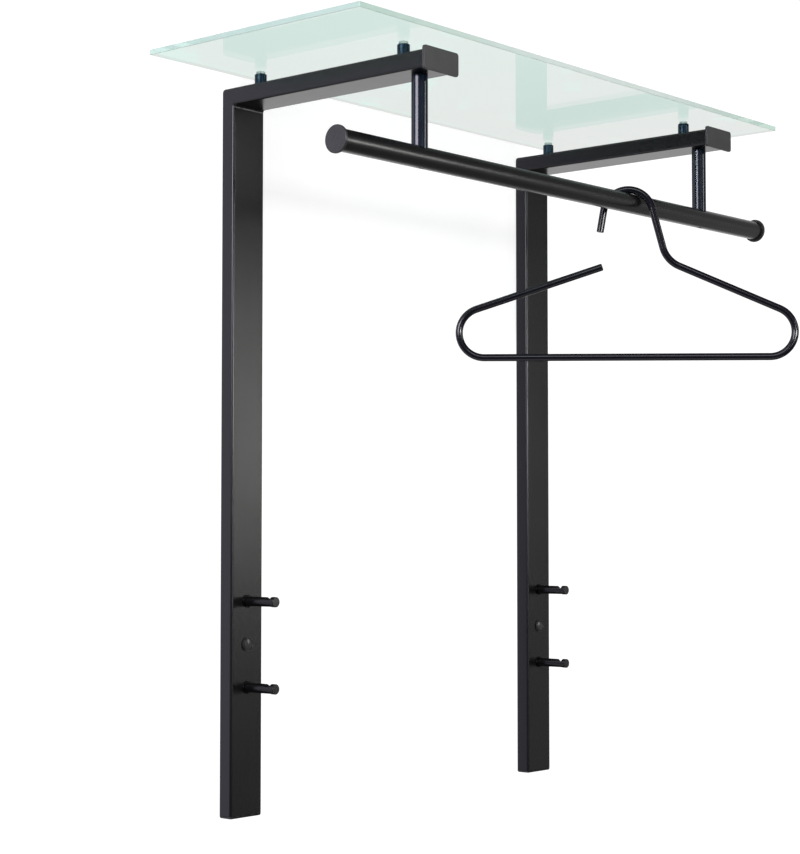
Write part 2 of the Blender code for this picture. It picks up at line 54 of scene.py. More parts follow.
# Tube brackets
TUBE_DEPTH = 0.020
TUBE_WALL = 0.002
TUBE_CORNER = 0.003
CORNER_SEGMENTS = 7
MITRE_ROUND = 0.0030
MITRE_SEGMENTS = 6
FIXING_GAP = 0.0003
ACCESS_HOLE = 0.0125
WALL_SCREW_HOLE = 0.006
KEYHOLE_HEAD = 0.012
KEYHOLE_SLOT = 0.0065
KEYHOLE_TRAVEL = 0.012
WELD_LEG = 0.0036
WELD_ROOT = 0.001
WELD_SHARE_ON_ARM = 0.4
WELD_STEPS = 8
WELD_CUTS = 84
WELD_RIPPLE_LENGTH = 0.0021
WELD_RIPPLE = 0.06
WELD_DRIFT = 0.26
WELD_DRIFT_SCALE = 180.0
WELD_SIDE_SCALE = 40.0

# Plates and plugs
PLATE_SEGMENTS = 6
PLATE_EDGE = 0.0006
PLATE_SEAM = 0.0003
FOOT_EDGE = 0.0024
EDGE_SEGMENTS = 3
END_PLATE = 0.003
END_PLATE_CORNER = 0.0035
SHELF_CORNER = 0.0012
SHELF_ARRIS = 0.0006
GROUND_EDGE = 0.999

# Turned pieces
ROUND_STEPS = 48
ROUND_SEGMENTS = 4
SEAM_EDGE = 0.0003
SPACER_ROUND = 0.0011
SPACER_STUD_RADIUS = 0.003
PAD_ROUND = 0.0006
ROD_EDGE = 0.0004
BAR_STEPS = 96
BAR_WALL = 0.0015
BAR_CAP = 0.003
BAR_CAP_ROUND = 0.0008
SOCKET_STEPS = 6
ROD_BOLT_RADIUS = 0.003
ROD_BOLT_SOCKET = (0.0046, 0.0036)
BUTTON_TOP = 0.55
BUTTON_TOP_ROUND = 0.0005
BUTTON_SHOULDER = (0.86, 0.62)
BUTTON_SHOULDER_ROUND = 0.0008
BAR_SCREW = 0.004
BAR_SCREW_SINK = 0.0022
BAR_SCREW_RECESS = 0.0007
BAR_SCREW_CHAMFER = 0.0002
BAR_SCREW_SOCKET = (0.0030, 0.0032)

# Pegs and screw covers
PEG_DIAMETER = 0.0111
PEG_SEAT = 0.0018
PEG_STUD_RADIUS = 0.0025
KNOB_LENGTH = 0.006
KNOB_EDGE = 0.0006
NOTCH_LENGTH = 0.009
NOTCH_DEPTH = 0.003
NOTCH_ROUND = 0.0022
COLLAR_THICKNESS = 0.0012
COLLAR_EDGE = 0.0004
COLLAR_BODY_RADIUS = 0.0045
COVER_TRIM = 0.0007
COVER_HEIGHT = 0.0022
COVER_CROWN = 0.0006
COVER_EDGE = 0.0002
COVER_DISC = 0.78
COVER_GROOVE = (0.80, 0.87)
COVER_GROOVE_DEPTH = 0.0012
COVER_RIM = 0.92
COVER_STEM_WALL = 0.0015

# Hanger
HANGER_ROD = 0.009
HANGER_SIDES = 28
HANGER_TURN = math.radians(-52)
HANGER_END_ROUND = 0.0009
BEND_STEP = math.radians(4)
HOOK_BEND = 0.0303
TIP_LEAN = math.radians(9.7)
TIP_LENGTH = 0.0278
NECK_LEAN = math.radians(14.65)
NECK_DROP = 0.0881
NECK_BEND = 0.0348
HANGER_DROP = 0.2066
END_BEND = 0.0307
NECK_SIDE_REACH = 0.2022
FREE_SIDE_REACH = 0.2079
FREE_END_OFFSET = 0.032
FREE_END_DROP = 0.0954

# Patterns of the finishes, as scale and detail
COAT_LINES = (260.0, 3.0)
COAT_CLOUD = (22.0, 3.0)
COAT_PEEL = (620.0, 2.0)
LACQUER_CLOUD = (45.0, 3.0)
LACQUER_WAVE = (180.0, 1.0)
PLASTIC_CLOUD = (60.0, 3.0)
PLASTIC_GRAIN = (1900.0, 2.0)
STEEL_CLOUD = (300.0, 4.0)
VINYL_CLOUD = (500.0, 2.0)
GLASS_SMUDGE = (14.0, 4.0)
GLASS_WAVE = (6.0, 0.0)
EDGE_CLOUD = (60.0, 3.0)
EDGE_GRAIN = (900.0, 2.0)
ALONG_BRACKET = (1.0, 0.02, 0.02)
ALONG_BAR = (0.02, 1.0, 1.0)
ALONG_PEG = (1.0, 0.02, 1.0)

# Relief of the finishes, as strength and distance
COAT_RELIEF = (0.05, 0.0001)
LACQUER_RELIEF = (0.012, 0.0002)
PLASTIC_RELIEF = (0.18, 0.0001)
STEEL_RELIEF = (0.10, 0.0001)
GLASS_RELIEF = (0.02, 0.001)
EDGE_RELIEF = (0.03, 0.0001)

# Shades and gloss of the finishes
SHADE_SPREAD = (0.88, 1.12)
COAT_BLUE = 1.06
COAT_STREAK = 0.003
COAT_UNEVEN = 0.008
LACQUER_ROUGH = 0.152
LACQUER_UNEVEN = 0.012
PLASTIC_BLUE = 1.02
STEEL_SHADES = ((0.012, 0.012, 0.013), (0.028, 0.028, 0.029))
STEEL_ROUGH = (0.26, 0.42)
VINYL_SHADES = ((0.64, 0.78, 0.73), (0.70, 0.84, 0.79))
VINYL_ROUGH = (0.08, 0.20)
VINYL_CLEAR = 0.7
VINYL_IOR = 1.2
GLASS_SHADES = ((0.727, 0.880, 0.827), (0.739, 0.890, 0.837))
GLASS_ROUGH = (0.0, 0.035, 0.60, 0.80)
GLASS_IOR = 1.06
EDGE_SHADES = ((0.60, 0.81, 0.71), (0.89, 0.98, 0.935))
EDGE_FROM_INSIDE = (0.65, 0.70, 0.67)
EDGE_ROUGH = (0.16, 0.28)
EDGE_CLEAR = (0.2, 1.0, 0.0, 1.0)
# Where the ground edge is painted lighter along X, as painted light
EDGE_LIGHT_RISE = (0.1, 0.9, -0.42, -0.05)
EDGE_LIGHT_FALL = (0.9, 0.1, 0.12, 0.40)
EDGE_UNEVEN = 0.1


def link(tree, source, target):
    """Joins two sockets."""
    tree.links.new(source, target)


def new_finish(name, **values):
    """A material with one principled shader and the given values on its sockets."""
    material = bpy.data.materials.new(name)
    material.use_nodes = True
    shader = material.node_tree.nodes["Principled BSDF"]
    for socket, value in values.items():
        shader.inputs[socket.replace("_", " ")].default_value = value
    return material, material.node_tree, shader


def pattern(tree, scale, detail=2.0, stretch=(1.0, 1.0, 1.0)):
    """Noise on object coordinates, drawn out along the axes with a small stretch."""
    coordinates = tree.nodes.new("ShaderNodeTexCoord")
    mapping = tree.nodes.new("ShaderNodeMapping")
    mapping.inputs["Scale"].default_value = stretch
    texture = tree.nodes.new("ShaderNodeTexNoise")
    texture.inputs["Scale"].default_value = scale
    texture.inputs["Detail"].default_value = detail
    link(tree, coordinates.outputs["Object"], mapping.inputs["Vector"])
    link(tree, mapping.outputs["Vector"], texture.inputs["Vector"])
    return texture.outputs["Fac"]


def axes(tree, kind="Object"):
    """The coordinates along X, Y and Z."""
    coordinates = tree.nodes.new("ShaderNodeTexCoord")
    split = tree.nodes.new("ShaderNodeSeparateXYZ")
    link(tree, coordinates.outputs[kind], split.inputs["Vector"])
    return split.outputs


def ranged(tree, source, low, high, start=0.3, end=0.7):
    """A value between start and end spread from low to high, and held there outside."""
    spread = tree.nodes.new("ShaderNodeMapRange")
    spread.inputs["From Min"].default_value = start
    spread.inputs["From Max"].default_value = end
    spread.inputs["To Min"].default_value = low
    spread.inputs["To Max"].default_value = high
    link(tree, source, spread.inputs["Value"])
    return spread.outputs["Result"]


def combined(tree, operation, first, second):
    """Two values put together by one operation."""
    total = tree.nodes.new("ShaderNodeMath")
    total.operation = operation
    link(tree, first, total.inputs[0])
    link(tree, second, total.inputs[1])
    return total.outputs["Value"]


def between(tree, factor, low, high, kind="FLOAT"):
    """A level or colour between two others, each of them fixed or a socket."""
    mix = tree.nodes.new("ShaderNodeMix")
    mix.data_type = kind
    for socket, level in (("A", low), ("B", high)):
        if isinstance(level, float):
            mix.inputs[socket].default_value = level
        elif isinstance(level, tuple):
            mix.inputs[socket].default_value = (*level, 1.0)
        else:
            link(tree, level, mix.inputs[socket])
    link(tree, factor, mix.inputs["Factor"])
    return mix.outputs["Result"]


def blended(tree, factor, dark, light):
    """A colour between two shades."""
    return between(tree, factor, dark, light, "RGBA")


def relief(tree, shader, height, strength, distance):
    """Fine surface relief from a pattern."""
    bump = tree.nodes.new("ShaderNodeBump")
    bump.inputs["Strength"].default_value = strength
    bump.inputs["Distance"].default_value = distance
    link(tree, height, bump.inputs["Height"])
    link(tree, bump.outputs["Normal"], shader.inputs["Normal"])


def powder_coat(name, tone, rough, stretch, **values):
    """Satin black coating on drawn tube: fine orange peel and faint lines along the tube."""
    material, tree, shader = new_finish(name, **values)
    lines = pattern(tree, *COAT_LINES, stretch)
    cloud = pattern(tree, *COAT_CLOUD)
    peel = pattern(tree, *COAT_PEEL)
    dark, light = ((share * tone, share * tone, COAT_BLUE * share * tone) for share in SHADE_SPREAD)
    link(tree, blended(tree, ranged(tree, cloud, 0.0, 1.0), dark, light), shader.inputs["Base Color"])
    streaks = ranged(tree, lines, -COAT_STREAK, COAT_STREAK)
    clouded = ranged(tree, cloud, rough - COAT_UNEVEN, rough + COAT_UNEVEN)
    link(tree, combined(tree, "ADD", clouded, streaks), shader.inputs["Roughness"])
    relief(tree, shader, peel, *COAT_RELIEF)
    return material


def brushed_round(material):
    """Draws the gloss out round a bar that lies along X."""
    tree = material.node_tree
    tangent = tree.nodes.new("ShaderNodeTangent")
    tangent.direction_type = "RADIAL"
    tangent.axis = "X"
    link(tree, tangent.outputs["Tangent"], tree.nodes["Principled BSDF"].inputs["Tangent"])
    return material


def gloss_lacquer(name, dark, light, rough=LACQUER_ROUGH, tint=(1.0, 1.0, 1.0)):
    """Glossy lacquer on solid rod."""
    material, tree, shader = new_finish(name, Specular_Tint=(*tint, 1.0))
    cloud = pattern(tree, *LACQUER_CLOUD)
    wave = pattern(tree, *LACQUER_WAVE)
    shade = blended(tree, ranged(tree, cloud, 0.0, 1.0), dark, light)
    link(tree, shade, shader.inputs["Base Color"])
    clouded = ranged(tree, cloud, rough - LACQUER_UNEVEN, rough + LACQUER_UNEVEN)
    link(tree, clouded, shader.inputs["Roughness"])
    relief(tree, shader, wave, *LACQUER_RELIEF)
    return material


def moulded_plastic(name, tone, smooth, rough):
    """Black moulded plastic with a fine grain."""
    material, tree, shader = new_finish(name)
    cloud = pattern(tree, *PLASTIC_CLOUD)
    grain = pattern(tree, *PLASTIC_GRAIN)
    dark, light = ((share * tone, share * tone, PLASTIC_BLUE * share * tone) for share in SHADE_SPREAD)
    link(tree, blended(tree, ranged(tree, cloud, 0.0, 1.0), dark, light), shader.inputs["Base Color"])
    link(tree, ranged(tree, grain, smooth, rough), shader.inputs["Roughness"])
    relief(tree, shader, grain, *PLASTIC_RELIEF)
    return material


def black_steel():
    """Blackened steel of the screws and peg collars."""
    material, tree, shader = new_finish("blackened_steel", Metallic=1.0)
    cloud = pattern(tree, *STEEL_CLOUD)
    link(tree, blended(tree, ranged(tree, cloud, 0.0, 1.0), *STEEL_SHADES), shader.inputs["Base Color"])
    link(tree, ranged(tree, cloud, *STEEL_ROUGH), shader.inputs["Roughness"])
    relief(tree, shader, cloud, *STEEL_RELIEF)
    return material


def clear_vinyl():
    """Soft clear pads under the glass."""
    material, tree, shader = new_finish("clear_vinyl", IOR=VINYL_IOR, Transmission_Weight=VINYL_CLEAR)
    cloud = pattern(tree, *VINYL_CLOUD)
    link(tree, blended(tree, ranged(tree, cloud, 0.0, 1.0), *VINYL_SHADES), shader.inputs["Base Color"])
    link(tree, ranged(tree, cloud, *VINYL_ROUGH), shader.inputs["Roughness"])
    return material


def green_glass():
    """Float glass, faintly green, with a trace of smudging."""
    material, tree, shader = new_finish("float_glass", IOR=GLASS_IOR, Transmission_Weight=1.0)
    smudge = pattern(tree, *GLASS_SMUDGE)
    link(tree, blended(tree, ranged(tree, smudge, 0.0, 1.0), *GLASS_SHADES), shader.inputs["Base Color"])
    link(tree, ranged(tree, smudge, *GLASS_ROUGH), shader.inputs["Roughness"])
    relief(tree, shader, pattern(tree, *GLASS_WAVE), *GLASS_RELIEF)
    return material


def ground_edge():
    """The glass plate's ground edge, where its own green shows, painted lighter towards the middle of the
    shelf as painted light; from inside the plate it is clear.
    """
    material, tree, shader = new_finish("ground_glass_edge", IOR=GLASS_IOR)
    cloud = pattern(tree, *EDGE_CLOUD)
    grain = pattern(tree, *EDGE_GRAIN)
    from_inside = tree.nodes.new("ShaderNodeNewGeometry").outputs["Backfacing"]
    place = axes(tree)["X"]
    # Painted light: the edge shade is lighter in the middle of the shelf and darker towards both ends.
    along = combined(tree, "MINIMUM", ranged(tree, place, *EDGE_LIGHT_RISE), ranged(tree, place, *EDGE_LIGHT_FALL))
    tint = combined(tree, "ADD", along, ranged(tree, cloud, -EDGE_UNEVEN, EDGE_UNEVEN))
    shade = blended(tree, from_inside, blended(tree, tint, *EDGE_SHADES), EDGE_FROM_INSIDE)
    link(tree, shade, shader.inputs["Base Color"])
    link(tree, ranged(tree, grain, *EDGE_ROUGH), shader.inputs["Roughness"])
    link(tree, ranged(tree, from_inside, *EDGE_CLEAR), shader.inputs["Transmission Weight"])
    relief(tree, shader, grain, *EDGE_RELIEF)
    return material


FINISHES = {
    "bracket_coat": powder_coat("bracket_coat", 0.0046, 0.26, ALONG_BRACKET),
    # The weld coat is the bracket coat about seven times lighter: a painted highlight for the light that
    # the bead catches.
    "weld_highlight_coat": powder_coat("weld_highlight_coat", 0.034, 0.20, ALONG_BRACKET),
    "bar_coat": brushed_round(
        powder_coat("bar_coat", 0.0045, 0.25, ALONG_BAR, Specular_IOR_Level=1.0, Anisotropic=0.65)
    ),
    "peg_coat": powder_coat("peg_coat", 0.0040, 0.25, ALONG_PEG, Specular_IOR_Level=0.40),
    # The peg's end face is the peg coat three times lighter: painted light for the light that the flat end
    # catches.
    "peg_face_painted_light": powder_coat("peg_face_painted_light", 0.0120, 0.28, ALONG_PEG, Specular_IOR_Level=0.60),
    "blue_lacquer": gloss_lacquer("blue_black_lacquer", (0.0030, 0.0070, 0.0145), (0.0050, 0.0110, 0.0220)),
    "spacer_lacquer": gloss_lacquer(
        "spacer_lacquer", (0.0025, 0.0070, 0.0125), (0.0040, 0.0105, 0.0190), 0.27, (0.45, 0.75, 1.0)
    ),
    "lacquer": gloss_lacquer("gloss_lacquer", (0.0032, 0.0035, 0.0060), (0.0052, 0.0056, 0.0092)),
    "plate_plastic": moulded_plastic("plate_plastic", 0.046, 0.34, 0.46),
    "disc_plastic": moulded_plastic("disc_plastic", 0.030, 0.24, 0.34),
    "cover_plastic": moulded_plastic("cover_plastic", 0.034, 0.18, 0.25),
    "cap_plastic": moulded_plastic("cap_plastic", 0.014, 0.16, 0.24),
    "steel": black_steel(),
    "vinyl": clear_vinyl(),
    "glass": green_glass(),
    "glass_edge": ground_edge(),
}


def middle(node):
    """The middle of a CAD node's box."""
    low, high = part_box(node)
    return (low + high) / 2


def even_shading(piece):
    """Keeps flat and straight faces true beside their rounded edges."""
    modifier = piece.modifiers.new("even_shading", "WEIGHTED_NORMAL")
    modifier.keep_sharp = True


def add_piece(name, bm, finish, nodes=(), body="rack"):
    """Makes an object of a finished shape, ties it to its body, and hides the solids that it stands for."""
    mesh = bpy.data.meshes.new(name)
    bm.to_mesh(mesh)
    bm.free()
    mesh.materials.append(FINISHES[finish])
    mesh.shade_smooth()
    mesh.set_sharp_from_angle(angle=SMOOTH_ANGLE)
    piece = bpy.data.objects.new(name, mesh)
    bpy.context.scene.collection.objects.link(piece)
    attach(piece, body)
    if nodes:
        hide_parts(*nodes)
    even_shading(piece)
    return piece


def move(bm, place, turn=NO_TURN):
    """Turns a shape and puts it in its place."""
    bmesh.ops.transform(bm, matrix=Matrix.Translation(place) @ turn, verts=bm.verts[:])
    return bm


def round_edges(bm, edges, size, segments=EDGE_SEGMENTS):
    """Rounds edges over."""
    bmesh.ops.bevel(
        bm,
        geom=edges,
        offset=size,
        affect="EDGES",
        segments=segments,
        profile=0.5,
        material=-1,
        clamp_overlap=True,
    )


def round_corners(bm, corners, size, segments):
    """Rounds the corners of an outline."""
    bmesh.ops.bevel(
        bm, geom=corners, offset=size, affect="VERTICES", segments=segments, profile=0.5, material=-1
    )


def drawn_up(bm, faces):
    """Extrudes faces and returns the new corners, still where they were."""
    made = bmesh.ops.extrude_face_region(bm, geom=faces)["geom"]
    return [item for item in made if isinstance(item, bmesh.types.BMVert)]


def flat_outline(bm, width, depth, corner, segments=PLATE_SEGMENTS):
    """A rounded rectangle, flat at height 0."""
    made = bmesh.ops.create_grid(bm, x_segments=1, y_segments=1, size=0.5)["verts"]
    bmesh.ops.scale(bm, vec=(width, depth, 1.0), verts=made)
    round_corners(bm, made, corner, segments)


def slab(width, depth, thickness, corner, edge, under_edge):
    """A plate standing on height 0 with rounded corners and eased upper and under edges."""
    bm = bmesh.new()
    flat_outline(bm, width, depth, corner)
    bmesh.ops.translate(bm, vec=(0.0, 0.0, thickness), verts=drawn_up(bm, bm.faces[:]))
    bmesh.ops.recalc_face_normals(bm, faces=bm.faces[:])
    for level, size in ((thickness, edge), (0.0, under_edge)):
        rim = [side for side in bm.edges if all(abs(point.co.z - level) < MERGE for point in side.verts)]
        round_edges(bm, rim, size)
    return bm


def tube_bore(side, length):
    """The block that fills the tube's end, as width, depth and length."""
    low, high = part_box(f"bracket_{side}")
    play = 2 * (TUBE_WALL + FIXING_GAP)
    return Vector((high.x - low.x - play, TUBE_DEPTH - play, length))


def plug(width, depth, thickness, corner, edge, block):
    """A plate with a block on its underside that fills the tube's end."""
    bm = slab(width, depth, thickness, corner, edge, PLATE_SEAM)
    under = min(bm.faces, key=lambda face: face.calc_center_median().z)
    bmesh.ops.inset_region(bm, faces=[under], thickness=TUBE_WALL)
    rim = 2 * (TUBE_WALL + PLATE_SEAM)
    size = Vector((block.x / (width - rim), block.y / (depth - rim), 1.0))
    bmesh.ops.scale(bm, vec=size, verts=under.verts[:])
    bmesh.ops.translate(bm, vec=(0.0, 0.0, -block.z), verts=drawn_up(bm, [under]))
    return bm


def turned(profile, steps=ROUND_STEPS, ring=False):
    """A piece turned about Z. A point gives a radius, a height and how far its corner is rounded."""
    bm = bmesh.new()
    points = [bm.verts.new((radius, 0.0, height)) for radius, height, _ in profile]
    ends = points[1:] + points[:1] if ring else points[1:]
    for start, end in zip(points, ends):
        bm.edges.new((start, end))
    for point, (_, _, size) in zip(points, profile):
        if size:
            round_corners(bm, [point], size, ROUND_SEGMENTS)
    bmesh.ops.spin(
        bm,
        geom=bm.verts[:] + bm.edges[:],
        cent=(0, 0, 0),
        axis=(0, 0, 1),
        angle=2 * math.pi,
        steps=steps,
        use_merge=True,
    )
    bmesh.ops.remove_doubles(bm, verts=bm.verts[:], dist=MERGE)
    bmesh.ops.recalc_face_normals(bm, faces=bm.faces[:])
    return bm


def drill(diameter, length, place, turn=NO_TURN, steps=ROUND_STEPS):
    """A cutter for a round or six-sided hole, centred on its place."""
    bm = bmesh.new()
    radius = diameter / 2
    bmesh.ops.create_cone(bm, cap_ends=True, segments=steps, radius1=radius, radius2=radius, depth=length)
    return move(bm, place, turn)


def bench_object(bm):
    """An object that is used up in making a piece."""
    mesh = bpy.data.meshes.new("bench")
    bm.to_mesh(mesh)
    bm.free()
    item = bpy.data.objects.new("bench", mesh)
    bpy.context.scene.collection.objects.link(item)
    return item


def carved(bm, cutters, wall=0.0):
    """Gives a skin its wall where it needs one, then takes the cutters out of it."""
    base = bench_object(bm)
    if wall:
        shell = base.modifiers.new("wall", "SOLIDIFY")
        shell.thickness = wall
        shell.offset = -1.0
        shell.use_even_offset = True
        shell.use_quality_normals = True
    tools = [bench_object(cutter) for cutter in cutters]
    for tool in tools:
        cut = base.modifiers.new("cut", "BOOLEAN")
        cut.operation = "DIFFERENCE"
        cut.solver = "EXACT"
        cut.object = tool
    result = bmesh.new()
    result.from_object(base, bpy.context.evaluated_depsgraph_get())
    for item in [base, *tools]:
        mesh = item.data
        bpy.data.objects.remove(item)
        bpy.data.meshes.remove(mesh)
    bmesh.ops.remove_doubles(result, verts=result.verts[:], dist=MERGE)
    return result


def on_mitre(corner, top):
    """Whether a corner lies on the plane where post and arm meet."""
    return abs(corner.co.z - top - corner.co.y) < MERGE


def add_bracket(side):
    """A mitred tube bracket: post and arm in one, with the wall fixings cut in it."""
    low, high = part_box(f"bracket_{side}")
    centre = (low.x + high.x) / 2
    bm = bmesh.new()
    flat_outline(bm, high.x - low.x, TUBE_DEPTH, TUBE_CORNER, CORNER_SEGMENTS)
    move(bm, (centre, -TUBE_DEPTH / 2, low.z))
    foot = bm.faces[:][0]
    for corner in drawn_up(bm, [foot]):
        corner.co.z = high.z + corner.co.y
    top = max(bm.faces, key=lambda face: face.calc_center_median().z)
    for corner in drawn_up(bm, [top]):
        corner.co.y = low.y
    front = min(bm.faces, key=lambda face: face.calc_center_median().y)
    foot = min(bm.faces, key=lambda face: face.calc_center_median().z)
    inside = [face for face in bm.faces if all(on_mitre(corner, high.z) for corner in face.verts)]
    bmesh.ops.delete(bm, geom=[front, foot, *inside], context="FACES_ONLY")
    bmesh.ops.recalc_face_normals(bm, faces=bm.faces[:])
    mitre = [edge for edge in bm.edges if all(on_mitre(corner, high.z) for corner in edge.verts)]
    round_edges(bm, mitre, MITRE_ROUND, MITRE_SEGMENTS)
    cover_height = middle(f"screw_cover_{side}").z
    through = 3 * TUBE_WALL
    back = -TUBE_WALL / 2
    cutters = [
        drill(ACCESS_HOLE, through, (centre, TUBE_WALL / 2 - TUBE_DEPTH, cover_height), FORWARD),
        drill(WALL_SCREW_HOLE, through, (centre, back, cover_height), FORWARD),
        drill(KEYHOLE_HEAD, through, (centre, back, -KEYHOLE_TRAVEL), FORWARD),
        keyhole_slot((centre, back + through / 2, -KEYHOLE_TRAVEL / 2), through),
    ]
    tube = carved(bm, cutters, TUBE_WALL)
    add_piece(f"{side}_tube_bracket", tube, "bracket_coat", [f"bracket_{side}"])


def keyhole_slot(place, through):
    """The narrow part of a keyhole, as a cutter."""
    bm = bmesh.new()
    flat_outline(bm, KEYHOLE_SLOT, KEYHOLE_TRAVEL + KEYHOLE_SLOT, KEYHOLE_SLOT / 2 - MERGE)
    bmesh.ops.translate(bm, vec=(0.0, 0.0, through), verts=drawn_up(bm, bm.faces[:]))
    bmesh.ops.recalc_face_normals(bm, faces=bm.faces[:])
    return move(bm, place, FORWARD)


def add_weld(side):
    """The rippled, hollow weld in the inside corner of a bracket, in a coat lightened as a painted
    highlight.
    """
    low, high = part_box(f"bracket_{side}")
    length = high.x - low.x - 2 * TUBE_CORNER
    bm = bmesh.new()
    toe = bm.verts.new((0.0, MERGE, -WELD_LEG))
    hollow = (0.0, -WELD_LEG, -WELD_LEG)
    face = bmesh.ops.spin(
        bm, geom=[toe], cent=hollow, axis=(1, 0, 0), angle=math.pi / 2, steps=WELD_STEPS
    )
    far_toe = face["geom_last"][0]
    root = bm.verts.new((0.0, WELD_ROOT, WELD_ROOT))
    bm.edges.new((root, toe))
    bm.edges.new((far_toe, root))
    bmesh.ops.edgeloop_fill(bm, edges=bm.edges[:])
    bmesh.ops.translate(bm, vec=(length, 0.0, 0.0), verts=drawn_up(bm, bm.faces[:]))
    bmesh.ops.recalc_face_normals(bm, faces=bm.faces[:])
    runs = [edge for edge in bm.edges if abs(edge.verts[0].co.x - edge.verts[1].co.x) > MERGE]
    bmesh.ops.subdivide_edges(bm, edges=runs, cuts=WELD_CUTS, use_grid_fill=True)
    for point in bm.verts:
        ripple = math.sin(2 * math.pi * point.co.x / WELD_RIPPLE_LENGTH)
        drift = noise.noise((point.co.x * WELD_DRIFT_SCALE, low.x * WELD_SIDE_SCALE, 0.0))
        swell = 1.0 + WELD_RIPPLE * ripple + WELD_DRIFT * drift
        point.co.y *= swell * WELD_SHARE_ON_ARM
        point.co.z *= swell
    place = (low.x + TUBE_CORNER, -TUBE_DEPTH, high.z - TUBE_DEPTH)
    add_piece(f"{side}_weld_bead", move(bm, place), "weld_highlight_coat")


def add_arm_end(side):
    """The plate on the front end of an arm."""
    low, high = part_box(f"arm_end_plate_{side}")
    middle_x = (low.x + high.x) / 2
    bore = tube_bore(side, high.y - low.y - END_PLATE)
    bm = plug(high.x - low.x, high.z - low.z, END_PLATE, END_PLATE_CORNER, PLATE_EDGE, bore)
    move(bm, (middle_x, low.y + END_PLATE, (low.z + high.z) / 2), FORWARD)
    add_piece(f"{side}_arm_end", bm, "plate_plastic", [f"arm_end_plate_{side}"])


def add_post_foot(side):
    """The plug in the foot of a post."""
    low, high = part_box(f"post_plug_{side}")
    bore = tube_bore(side, high.z - low.z - END_PLATE)
    bm = plug(high.x - low.x, high.y - low.y, END_PLATE, TUBE_CORNER, FOOT_EDGE, bore)
    move(bm, ((low.x + high.x) / 2, (low.y + high.y) / 2, low.z + END_PLATE), DOWN)
    add_piece(f"{side}_post_foot", bm, "cap_plastic", [f"post_plug_{side}"])


def add_spacer(side, place):
    """A spacer screwed into the arm, and the clear pad that the glass lies on."""
    node = f"standoff_{side}_{place}"
    low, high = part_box(node)
    radius = (high.x - low.x) / 2
    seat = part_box(f"bracket_{side}")[1].z + FIXING_GAP
    centre = (low.x + high.x) / 2, (low.y + high.y) / 2, seat
    height = high.z - seat
    stem = low.z - seat
    profile = [
        (0.0, height, 0.0),
        (radius, height, SPACER_ROUND),
        (radius, 0.0, SEAM_EDGE),
        (SPACER_STUD_RADIUS, 0.0, 0.0),
        (SPACER_STUD_RADIUS, stem, 0.0),
        (0.0, stem, 0.0),
    ]
    add_piece(f"{side}_{place}_spacer", move(turned(profile), centre), "spacer_lacquer", [node])
    node = f"shelf_pad_{side}_{place}"
    low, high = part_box(node)
    radius = (high.x - low.x) / 2
    thickness = high.z - low.z
    profile = [
        (0.0, thickness, 0.0),
        (radius, thickness, PAD_ROUND),
        (radius, 0.0, PAD_ROUND),
        (0.0, 0.0, 0.0),
    ]
    centre = (low.x + high.x) / 2, (low.y + high.y) / 2, low.z
    add_piece(f"{side}_{place}_glass_pad", move(turned(profile), centre), "vinyl", [node])


def add_rod(side):
    """The rod that hangs the bar under an arm, coped to sit on the bar."""
    node = f"support_rod_{side}"
    low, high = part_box(node)
    radius = (high.x - low.x) / 2
    bar_low, bar_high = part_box("clothes_bar")
    bar_radius = (bar_high.z - bar_low.z) / 2
    bar_axis = (bar_high.z + bar_low.z) / 2
    length = high.z - bar_axis
    profile = [
        (0.0, 0.0, 0.0),
        (radius, 0.0, ROD_EDGE),
        (radius, -length, 0.0),
        (0.0, -length, 0.0),
    ]
    centre = (low.x + high.x) / 2, (low.y + high.y) / 2, high.z
    on_bar = centre[0], centre[1], bar_axis
    saddle = drill(2 * (bar_radius + FIXING_GAP), 4 * radius, on_bar, RIGHT, BAR_STEPS)
    rod = carved(move(turned(profile), centre), [saddle])
    add_piece(f"{side}_bar_rod", rod, "blue_lacquer", [node])


def add_rod_bolt(side):
    """The button head bolt down through the arm into the rod."""
    node = f"rod_screw_{side}"
    low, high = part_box(node)
    radius = (high.x - low.x) / 2
    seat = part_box(f"bracket_{side}")[1].z + FIXING_GAP
    height = high.z - seat
    centre = Vector(((low.x + high.x) / 2, (low.y + high.y) / 2, seat))
    stem = low.z - seat
    profile = [
        (0.0, height, 0.0),
        (BUTTON_TOP * radius, height, BUTTON_TOP_ROUND),
        (BUTTON_SHOULDER[0] * radius, BUTTON_SHOULDER[1] * height, BUTTON_SHOULDER_ROUND),
        (radius, 0.0, 0.0),
        (ROD_BOLT_RADIUS, 0.0, 0.0),
        (ROD_BOLT_RADIUS, stem, 0.0),
        (0.0, stem, 0.0),
    ]
    socket = drill(*ROD_BOLT_SOCKET, centre + Vector((0.0, 0.0, height)), steps=SOCKET_STEPS)
    bolt = carved(move(turned(profile), centre), [socket])
    add_piece(f"{side}_rod_bolt", bolt, "steel", [node])


def add_bar_bolt(side):
    """The countersunk bolt up through the bar into the rod."""
    node = f"bar_screw_{side}"
    low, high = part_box(node)
    radius = (high.x - low.x) / 2
    shank = BAR_SCREW / 2
    head = low.z + BAR_SCREW_RECESS
    length = high.z - head
    centre = Vector(((low.x + high.x) / 2, (low.y + high.y) / 2, head))
    profile = [
        (0.0, length, 0.0),
        (shank, length, 0.0),
        (shank, BAR_SCREW_SINK, 0.0),
        (radius, BAR_SCREW_CHAMFER, 0.0),
        (radius - BAR_SCREW_CHAMFER, 0.0, 0.0),
        (0.0, 0.0, 0.0),
    ]
    socket = drill(*BAR_SCREW_SOCKET, centre, steps=SOCKET_STEPS)
    bolt = carved(move(turned(profile), centre), [socket])
    add_piece(f"{side}_bar_bolt", bolt, "steel", [node])


